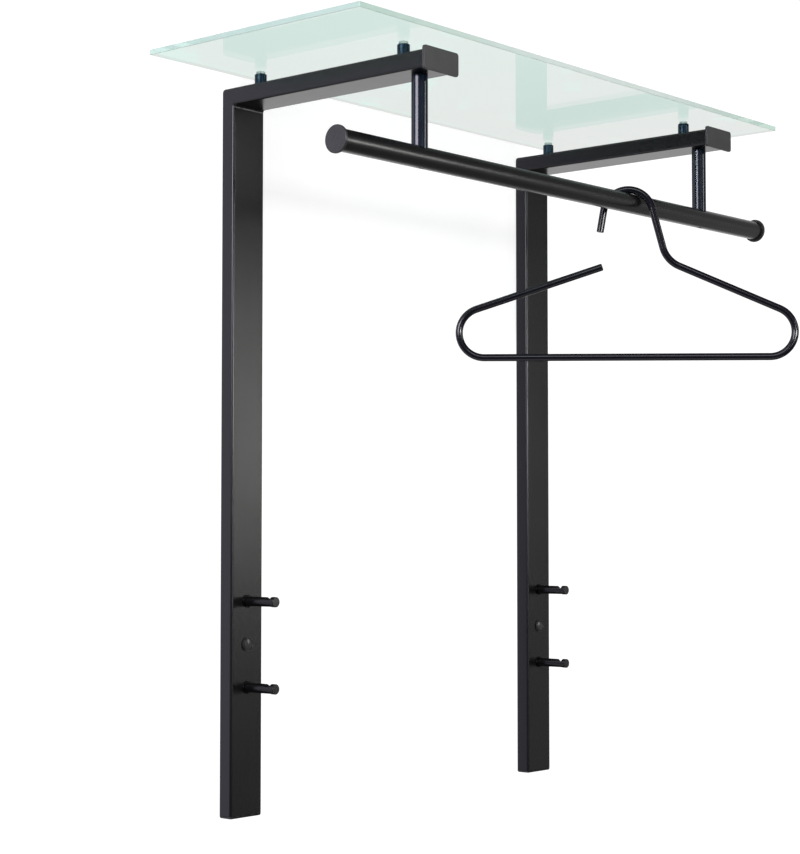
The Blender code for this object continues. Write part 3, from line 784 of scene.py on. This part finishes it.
def add_bar():
    """The hollow bar with a countersunk hole under each rod, and a disc on each end."""
    low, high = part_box("clothes_bar")
    radius = (high.z - low.z) / 2
    half = (high.x - low.x) / 2
    centre = (low + high) / 2
    inner = radius - BAR_WALL
    profile = [(inner, half, 0.0), (radius, half, 0.0), (radius, -half, 0.0), (inner, -half, 0.0)]
    bm = move(turned(profile, BAR_STEPS, ring=True), centre, RIGHT)
    cutters = []
    for side in SIDES:
        spot = middle(f"bar_screw_{side}")
        spot.z = low.z
        sink = bmesh.new()
        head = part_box(f"bar_screw_{side}")[1].x - spot.x + 2 * FIXING_GAP
        slope = (head - BAR_SCREW / 2) / BAR_SCREW_SINK
        bmesh.ops.create_cone(
            sink,
            cap_ends=True,
            segments=ROUND_STEPS,
            radius1=head + slope * BAR_SCREW_SINK,
            radius2=BAR_SCREW / 2 + FIXING_GAP,
            depth=2 * BAR_SCREW_SINK,
        )
        cutters.append(move(sink, spot))
        cutters.append(drill(BAR_SCREW + 2 * FIXING_GAP, 4 * radius, (spot.x, spot.y, centre.z)))
    add_piece("coat_bar", carved(bm, cutters), "bar_coat", ["clothes_bar"])
    for side, turn in zip(SIDES, (LEFT, RIGHT)):
        node = f"bar_cap_{side}"
        low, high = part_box(node)
        disc = (high.z - low.z) / 2
        length = high.x - low.x - BAR_CAP
        plug_radius = inner - FIXING_GAP
        profile = [
            (0.0, BAR_CAP, 0.0),
            (disc, BAR_CAP, BAR_CAP_ROUND),
            (disc, 0.0, SEAM_EDGE),
            (plug_radius, 0.0, 0.0),
            (plug_radius, -length, 0.0),
            (0.0, -length, 0.0),
        ]
        outer = low.x + BAR_CAP if side == "left" else high.x - BAR_CAP
        centre = (outer, (low.y + high.y) / 2, (low.z + high.z) / 2)
        bm = move(turned(profile, BAR_STEPS), centre, turn)
        add_piece(f"{side}_bar_end", bm, "disc_plastic", [node])


def notch_cutter(reach, pin):
    """A cutter for the notch behind a peg's knob, round where it meets the pin."""
    bm = bmesh.new()
    size = Vector((4 * pin, 4 * pin, NOTCH_LENGTH))
    bmesh.ops.create_cube(bm, size=1.0)
    bmesh.ops.scale(bm, vec=size, verts=bm.verts[:])
    level = pin - NOTCH_DEPTH
    bmesh.ops.translate(bm, vec=(0.0, level + size.y / 2, reach - NOTCH_LENGTH / 2), verts=bm.verts[:])
    corner = Vector((level, reach - NOTCH_LENGTH))
    ramp = [edge for edge in bm.edges if all((point.co.yz - corner).length < MERGE for point in edge.verts)]
    round_edges(bm, ramp, NOTCH_ROUND, PLATE_SEGMENTS)
    return bm


def add_peg(side, level):
    """A coat peg with a notch behind its knob, and the collar that it screws into."""
    node = f"peg_{side}_{level}"
    low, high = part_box(node)
    knob = (high.x - low.x) / 2
    pin = PEG_DIAMETER / 2
    reach = -TUBE_DEPTH - low.y
    knob_back = reach - KNOB_LENGTH
    stem = -TUBE_DEPTH - high.y
    profile = [
        (0.0, reach, 0.0),
        (knob, reach, KNOB_EDGE),
        (knob, knob_back, SEAM_EDGE),
        (pin, knob_back, 0.0),
        (pin, PEG_SEAT, 0.0),
        (PEG_STUD_RADIUS, PEG_SEAT, 0.0),
        (PEG_STUD_RADIUS, stem, 0.0),
        (0.0, stem, 0.0),
    ]
    centre = ((low.x + high.x) / 2, -TUBE_DEPTH, (low.z + high.z) / 2)
    bm = carved(turned(profile), [notch_cutter(knob_back + MERGE, pin)])
    # The flat end face takes the lighter copy of the coat, a painted highlight.
    for face in bm.faces:
        face.material_index = int(face.calc_center_median().z > reach - MERGE)
    peg = add_piece(f"{side}_{level}_coat_peg", move(bm, centre, FORWARD), "peg_coat", [node])
    peg.data.materials.append(FINISHES["peg_face_painted_light"])
    node = f"peg_insert_{side}_{level}"
    low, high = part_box(node)
    flange = (high.x - low.x) / 2
    thread = PEG_STUD_RADIUS + FIXING_GAP
    front = -TUBE_DEPTH - low.y
    back = -TUBE_DEPTH - high.y
    profile = [
        (thread, front, 0.0),
        (flange, front, COLLAR_EDGE),
        (flange, front - COLLAR_THICKNESS, 0.0),
        (COLLAR_BODY_RADIUS, front - COLLAR_THICKNESS, 0.0),
        (COLLAR_BODY_RADIUS, back, 0.0),
        (thread, back, 0.0),
    ]
    bm = move(turned(profile, ring=True), centre, FORWARD)
    add_piece(f"{side}_{level}_peg_collar", bm, "steel", [node])


def add_cover(side):
    """The low cover over the lower wall screw: a crowned disc inside a rim, on a hollow stem."""
    node = f"screw_cover_{side}"
    low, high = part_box(node)
    radius = (high.x - low.x) / 2 - COVER_TRIM
    stem = ACCESS_HOLE / 2 - FIXING_GAP
    foot = -TUBE_DEPTH - high.y
    crown = FIXING_GAP + COVER_HEIGHT
    groove = crown - COVER_CROWN - COVER_GROOVE_DEPTH
    profile = [
        (0.0, crown, 0.0),
        (COVER_DISC * radius / 2, crown - COVER_CROWN / 4, radius / 4),
        (COVER_DISC * radius, crown - COVER_CROWN, COVER_EDGE),
        (COVER_GROOVE[0] * radius, groove, 0.0),
        (COVER_GROOVE[1] * radius, groove, 0.0),
        (COVER_RIM * radius, crown - COVER_CROWN, COVER_EDGE),
        (radius, crown - COVER_CROWN, COVER_EDGE),
        (radius, FIXING_GAP, 0.0),
        (stem, FIXING_GAP, 0.0),
        (stem, foot, 0.0),
        (stem - COVER_STEM_WALL, foot, 0.0),
        (stem - COVER_STEM_WALL, FIXING_GAP, 0.0),
        (0.0, FIXING_GAP, 0.0),
    ]
    centre = ((low.x + high.x) / 2, -TUBE_DEPTH, (low.z + high.z) / 2)
    bm = move(turned(profile), centre, FORWARD)
    add_piece(f"{side}_screw_cap", bm, "cover_plastic", [node], f"{side}_cover")


def add_shelf():
    """The glass plate."""
    low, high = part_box("glass_shelf")
    size = high - low
    bm = slab(size.x, size.y, size.z, SHELF_CORNER, SHELF_ARRIS, SHELF_ARRIS)
    move(bm, ((low.x + high.x) / 2, (low.y + high.y) / 2, low.z))
    for face in bm.faces:
        face.material_index = int(abs(face.normal.z) < GROUND_EDGE)
    plate = add_piece("shelf_glass", bm, "glass", ["glass_shelf"])
    plate.data.materials.append(FINISHES["glass_edge"])


def on_arc(centre, radius, angle):
    """A point on an arc in the hanger's plane."""
    return centre + radius * Vector((math.cos(angle), math.sin(angle)))


def slope_over(point, centre, radius, sign):
    """Direction of the line from a point that touches an arc."""
    towards = centre - point
    return math.atan2(towards.y, towards.x) + sign * math.asin(radius / towards.length)


def hanger_bends():
    """The hanger's two ends, and the bends between them as centre, radius, first and last angle."""
    hook = Vector((0.0, -HOOK_BEND))
    hook_start = math.pi - TIP_LEAN
    tip_run = TIP_LENGTH * Vector((math.sin(TIP_LEAN), math.cos(TIP_LEAN)))
    tip = on_arc(hook, HOOK_BEND, hook_start) - tip_run
    neck_start = on_arc(hook, HOOK_BEND, NECK_LEAN)
    corner = Vector((neck_start.x + (neck_start.y + NECK_DROP) * math.tan(NECK_LEAN), -NECK_DROP))
    end_level = END_BEND - HANGER_DROP
    neck_end = Vector((NECK_SIDE_REACH - END_BEND, end_level))
    free_end = Vector((END_BEND - FREE_SIDE_REACH, end_level))
    neck = NECK_LEAN - math.pi / 2
    shoulder = slope_over(corner, neck_end, END_BEND, 1)
    run_in = NECK_BEND * math.tan((shoulder - neck) / 2)
    bend_start = corner - run_in * Vector((math.cos(neck), math.sin(neck)))
    shoulder_bend = bend_start + NECK_BEND * Vector((-math.sin(neck), math.cos(neck)))
    cut_end = Vector((-FREE_END_OFFSET, -FREE_END_DROP))
    free_slope = slope_over(cut_end, free_end, END_BEND, -1) % (2 * math.pi)
    bends = [
        (hook, HOOK_BEND, hook_start, NECK_LEAN),
        (shoulder_bend, NECK_BEND, neck - math.pi / 2, shoulder - math.pi / 2),
        (neck_end, END_BEND, shoulder + math.pi / 2, -math.pi / 2),
        (free_end, END_BEND, 1.5 * math.pi, free_slope - math.pi / 2),
    ]
    return tip, bends, cut_end


def upright(point):
    """A point of the hanger's plane, with the plane standing along X and Z."""
    return Vector((point.x, 0.0, point.y))


def run_on(bm, ring, step):
    """Draws the rod on in a straight line."""
    made = bmesh.ops.extrude_edge_only(bm, edges=ring)["geom"]
    points = [item for item in made if isinstance(item, bmesh.types.BMVert)]
    bmesh.ops.translate(bm, vec=step, verts=points)
    edges = [item for item in made if isinstance(item, bmesh.types.BMEdge)]
    return [edge for edge in edges if set(edge.verts) <= set(points)]


def add_hanger():
    """The coat hanger, bent from one round rod."""
    tip, bends, cut_end = hanger_bends()
    bm = bmesh.new()
    bmesh.ops.create_circle(bm, segments=HANGER_SIDES, radius=HANGER_ROD / 2)
    first = on_arc(*bends[0][:3]) - tip
    move(bm, upright(tip), Matrix.Rotation(math.pi / 2 - math.atan2(first.y, first.x), 4, "Y"))
    ring = bm.edges[:]
    ends = [*ring]
    here = tip
    for centre, radius, start, end in bends:
        ring = run_on(bm, ring, upright(on_arc(centre, radius, start) - here))
        points = list({point for edge in ring for point in edge.verts})
        steps = math.ceil(abs(end - start) / BEND_STEP)
        made = bmesh.ops.spin(
            bm, geom=points + ring, cent=upright(centre), axis=(0, -1, 0), angle=end - start, steps=steps
        )["geom_last"]
        ring = [item for item in made if isinstance(item, bmesh.types.BMEdge)]
        here = on_arc(centre, radius, end)
    ring = run_on(bm, ring, upright(cut_end - here))
    for loop in (ends, ring):
        bmesh.ops.edgeloop_fill(bm, edges=loop)
    bmesh.ops.remove_doubles(bm, verts=bm.verts[:], dist=MERGE)
    bmesh.ops.recalc_face_normals(bm, faces=bm.faces[:])
    round_edges(bm, ends + ring, HANGER_END_ROUND)
    low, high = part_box("hanger")
    bar = middle("clothes_bar")
    rest = Vector((hanger_place(low, high), bar.y, high.z - HANGER_ROD / 2))
    move(bm, rest, Matrix.Rotation(HANGER_TURN, 4, "Z"))
    add_piece("coat_hanger", bm, "lacquer", ["hanger"], "hanger")


def hanger_place(low, high):
    """Where along the bar the hook hangs, from the hanger's two ends."""
    across = math.cos(HANGER_TURN)
    return (low.x + high.x) / 2 - across * (NECK_SIDE_REACH - FREE_SIDE_REACH) / 2


for side in SIDES:
    add_bracket(side)
    add_weld(side)
    add_arm_end(side)
    add_post_foot(side)
    for place in ("rear", "front"):
        add_spacer(side, place)
    add_rod(side)
    add_rod_bolt(side)
    add_bar_bolt(side)
    for level in ("upper", "lower"):
        add_peg(side, level)
    add_cover(side)
add_bar()
add_shelf()
add_hanger()

# Stage, light and camera
STAGE_SIZE = 12.0
WALL_GAP = 0.0004
WALL_GLOW = 0.81
FLOOR_LEVEL = -1.7
FLOOR_GLOW = 0.80
STAGE_PAINT = 0.30
SHADE_END = (-0.24, -0.16)
SOFTBOXES = (
    ("right_front_light", (5.32, -5.75, 0.07), (-0.28, -0.02, -0.29), (0.8, 1.2), 23.0, (1.0, 0.99, 0.97)),
    ("rod_light", (1.0, -2.1, 0.45), (-0.28, -0.28, 0.0), (0.3, 0.5), 3.6, (1.0, 1.0, 1.0)),
    ("front_light", (-0.6, -3.0, -0.04), (-0.06, 0.0, -0.04), (1.6, 0.28), 33.0, (1.0, 1.0, 1.0)),
    ("left_light", (-2.6, -0.25, 0.40), (-0.28, -0.28, 0.0), (1.5, 0.8), 40.0, (0.92, 0.88, 1.0)),
    ("fill_light", (-1.9, -1.9, 1.5), (0.0, -0.2, -0.2), (2.0, 0.8), 19.0, (0.94, 0.94, 1.0)),
)
CAMERA_SENSOR = 36.0
CAMERA_LENS = 82.9046
CAMERA_PLACE = (-1.885451, -1.634827, -0.437409)
CAMERA_TURN = (math.radians(92.8976), 0.0, math.radians(-49.2593))

# The room as it is mirrored: a level, the next level, and the directions where the change starts and ends
LEFT_WALL_LEVEL = 1.2
LEFT_WALL_EDGE = (0.0, 1.0, -0.81, -0.735)
LEFT_WALL_TOP = (0.25, 0.0, 0.07, 0.15)
LEFT_WALL_STEP = (1.2, 0.78, -0.70, -0.685)
LEFT_WALL_RISE = (0.80, 1.0, -0.18, -0.02)
RIGHT_WALL_RISE = (0.10, 0.95, -0.64, -0.44)
RIGHT_WALL_SINK = (0.0, -0.115, 0.745, 0.85)
WALL_MIDDLE = (0.0, 1.0, -0.2, 0.2)
LEFT_ROOM_RISE = (0.03, 0.20, -0.06, 0.04)
RIGHT_ROOM_RISE = (0.08, 0.23, -0.45, -0.20)
RIGHT_ROOM_LEVEL = 0.33
RIGHT_ROOM_EDGE = (0.0, 1.0, 0.80, 0.835)
ROOM_MIDDLE = (0.0, 1.0, -0.2, 0.3)
ROOM_TO_WALL = (0.0, 1.0, -0.10, 0.15)
DUSK_SIDE = (0.0, 1.0, -0.3, 0.3)
DUSK_RISE = (0.0, 1.0, 0.02, 0.18)
DUSK_LEVEL = (0.12, 0.74, 0.745, 0.85)
FLOOR_RISE = (0.65, 0.0, -0.80, -0.68)
FLOOR_SIDE = (1.0, 0.0, 0.2, 0.4)
COOL_SIDE = (1.0, 0.0, -0.6, -0.2)
COOL_TINT = (0.99, 0.99, 1.20)
WARM_SIDE = (0.0, 1.0, 0.50, 0.62)
WARM_TOP = (1.0, 0.0, -0.17, -0.12)
WARM_TINT = (1.27, 0.60, 0.77)
NO_TINT = (1.0, 1.0, 1.0)
FILL_LEVEL = 0.30


def shade_zone(tree):
    """Where the wall takes shadows: between the posts, in their upper part."""
    axis = axes(tree)
    left_low, left_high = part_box("bracket_left")
    right_low, right_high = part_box("bracket_right")
    from_left = ranged(tree, axis["X"], 0.0, 1.0, left_low.x, left_high.x)
    to_right = ranged(tree, axis["X"], 1.0, 0.0, right_low.x, right_high.x)
    across = combined(tree, "MULTIPLY", from_left, to_right)
    return combined(tree, "MULTIPLY", across, ranged(tree, axis["Z"], 0.0, 1.0, *SHADE_END))


def stage_plane(name, size, place, turn, glow, lit, shaded=None):
    """A white stage plane that shows from its front only, so that it hides nothing from behind."""
    bm = bmesh.new()
    bmesh.ops.create_grid(bm, x_segments=1, y_segments=1, size=size / 2)
    mesh = bpy.data.meshes.new(name)
    move(bm, place, turn).to_mesh(mesh)
    bm.free()
    plane = bpy.data.objects.new(name, mesh)
    bpy.context.scene.collection.objects.link(plane)
    material = bpy.data.materials.new(name)
    material.use_nodes = True
    tree = material.node_tree
    tree.nodes.clear()
    output = tree.nodes.new("ShaderNodeOutputMaterial")
    mix = tree.nodes.new("ShaderNodeMixShader")
    total = tree.nodes.new("ShaderNodeAddShader")
    light = tree.nodes.new("ShaderNodeEmission")
    light.inputs["Color"].default_value = (glow, glow, glow, 1.0)
    paint = tree.nodes.new("ShaderNodeBsdfDiffuse")
    paint.inputs["Color"].default_value = (lit, lit, lit, 1.0)
    if shaded:
        zone = shaded(tree)
        link(tree, blended(tree, zone, (glow + lit,) * 3, (glow,) * 3), light.inputs["Color"])
        link(tree, blended(tree, zone, (0.0, 0.0, 0.0), (lit,) * 3), paint.inputs["Color"])
    clear = tree.nodes.new("ShaderNodeBsdfTransparent")
    geometry = tree.nodes.new("ShaderNodeNewGeometry")
    link(tree, light.outputs["Emission"], total.inputs[0])
    link(tree, paint.outputs["BSDF"], total.inputs[1])
    link(tree, geometry.outputs["Backfacing"], mix.inputs["Fac"])
    link(tree, total.outputs["Shader"], mix.inputs[1])
    link(tree, clear.outputs["BSDF"], mix.inputs[2])
    link(tree, mix.outputs["Shader"], output.inputs["Surface"])
    mesh.materials.append(material)
    plane.visible_diffuse = False
    plane.visible_glossy = False
    plane.visible_transmission = False
    plane.visible_shadow = False


def softbox(name, place, target, size, power, colour):
    """A soft studio lamp facing the rack."""
    lamp = bpy.data.lights.new(name, "AREA")
    lamp.shape = "RECTANGLE"
    lamp.size = size[0]
    lamp.size_y = size[1]
    lamp.energy = power
    lamp.color = colour
    stand = bpy.data.objects.new(name, lamp)
    bpy.context.scene.collection.objects.link(stand)
    stand.location = place
    stand.rotation_euler = (Vector(target) - Vector(place)).to_track_quat("-Z", "Y").to_euler()


def mirrored_wall(tree, axis):
    """The wall side of the mirrored room."""
    edge = ranged(tree, axis["X"], *LEFT_WALL_EDGE)
    beyond = ranged(tree, axis["Z"], *LEFT_WALL_TOP)
    stepped = ranged(tree, axis["X"], *LEFT_WALL_STEP)
    lit = combined(tree, "MINIMUM", between(tree, edge, beyond, LEFT_WALL_LEVEL), stepped)
    left = combined(tree, "MULTIPLY", lit, ranged(tree, axis["Z"], *LEFT_WALL_RISE))
    sunk = combined(tree, "ADD", axis["Z"], ranged(tree, axis["X"], *RIGHT_WALL_SINK))
    right = ranged(tree, sunk, *RIGHT_WALL_RISE)
    return between(tree, ranged(tree, axis["X"], *WALL_MIDDLE), left, right)


def mirrored_front(tree, axis):
    """The dim front of the mirrored room."""
    left = ranged(tree, axis["Z"], *LEFT_ROOM_RISE)
    edge = ranged(tree, axis["X"], *RIGHT_ROOM_EDGE)
    right = between(tree, edge, ranged(tree, axis["Z"], *RIGHT_ROOM_RISE), RIGHT_ROOM_LEVEL)
    return between(tree, ranged(tree, axis["X"], *ROOM_MIDDLE), left, right)


def mirrored_level(tree, axis):
    """The mirrored room's level: its wall and front, dimmer at the upper right, and its floor."""
    front = mirrored_front(tree, axis)
    wall = mirrored_wall(tree, axis)
    all_round = between(tree, ranged(tree, axis["Y"], *ROOM_TO_WALL), front, wall)
    side = ranged(tree, axis["X"], *DUSK_SIDE)
    upper_right = combined(tree, "MULTIPLY", side, ranged(tree, axis["Z"], *DUSK_RISE))
    dusk = between(tree, upper_right, 1.0, ranged(tree, axis["X"], *DUSK_LEVEL))
    below = ranged(tree, axis["Z"], *FLOOR_RISE)
    floor = combined(tree, "MULTIPLY", below, ranged(tree, axis["X"], *FLOOR_SIDE))
    return combined(tree, "MAXIMUM", combined(tree, "MULTIPLY", all_round, dusk), floor)


def mirrored_tint(tree, axis, path, straight):
    """The mirrored room's colour: cool from the left on the coats, warm from the right in the glass."""
    clear = combined(tree, "MAXIMUM", straight, path["Is Singular Ray"])
    on_coats = between(tree, clear, path["Is Glossy Ray"], 0.0)
    cool = combined(tree, "MULTIPLY", on_coats, ranged(tree, axis["X"], *COOL_SIDE))
    in_glass = between(tree, straight, path["Is Singular Ray"], 0.0)
    side = ranged(tree, axis["X"], *WARM_SIDE)
    low_right = combined(tree, "MULTIPLY", side, ranged(tree, axis["Z"], *WARM_TOP))
    warm = combined(tree, "MULTIPLY", in_glass, low_right)
    return blended(tree, warm, blended(tree, cool, NO_TINT, COOL_TINT), WARM_TINT)


def light_room():
    """White all round for the camera and through the glass, and a room to be mirrored."""
    world = bpy.data.worlds.new("studio")
    bpy.context.scene.world = world
    world.use_nodes = True
    tree = world.node_tree
    background = tree.nodes["Background"]
    path = tree.nodes.new("ShaderNodeLightPath").outputs
    axis = axes(tree, "Generated")
    seen = combined(tree, "MAXIMUM", path["Is Camera Ray"], path["Is Transmission Ray"])
    bounced = combined(tree, "ADD", path["Diffuse Depth"], path["Glossy Depth"])
    straight = combined(tree, "MULTIPLY", seen, ranged(tree, bounced, 1.0, 0.0, 0.0, 1.0))
    mirrored = combined(tree, "MAXIMUM", path["Is Glossy Ray"], path["Is Transmission Ray"])
    around = between(tree, mirrored, FILL_LEVEL, mirrored_level(tree, axis))
    link(tree, between(tree, straight, around, 1.0), background.inputs["Strength"])
    link(tree, mirrored_tint(tree, axis, path, straight), background.inputs["Color"])


def add_camera():
    """The view from the left front, a little below the shelf."""
    camera = bpy.data.cameras.new("camera")
    camera.sensor_width = CAMERA_SENSOR
    camera.lens = CAMERA_LENS
    stand = bpy.data.objects.new("camera", camera)
    bpy.context.scene.collection.objects.link(stand)
    stand.location = CAMERA_PLACE
    stand.rotation_euler = CAMERA_TURN
    bpy.context.scene.camera = stand


light_room()
stage_plane("backdrop_wall", STAGE_SIZE, (0.0, WALL_GAP, 0.0), FORWARD, WALL_GLOW, STAGE_PAINT, shade_zone)
stage_plane("floor", STAGE_SIZE, (0.0, -STAGE_SIZE / 2, FLOOR_LEVEL), NO_TURN, FLOOR_GLOW, STAGE_PAINT)
for lamp in SOFTBOXES:
    softbox(*lamp)
add_camera()
bpy.context.scene.view_settings.view_transform = "Standard"
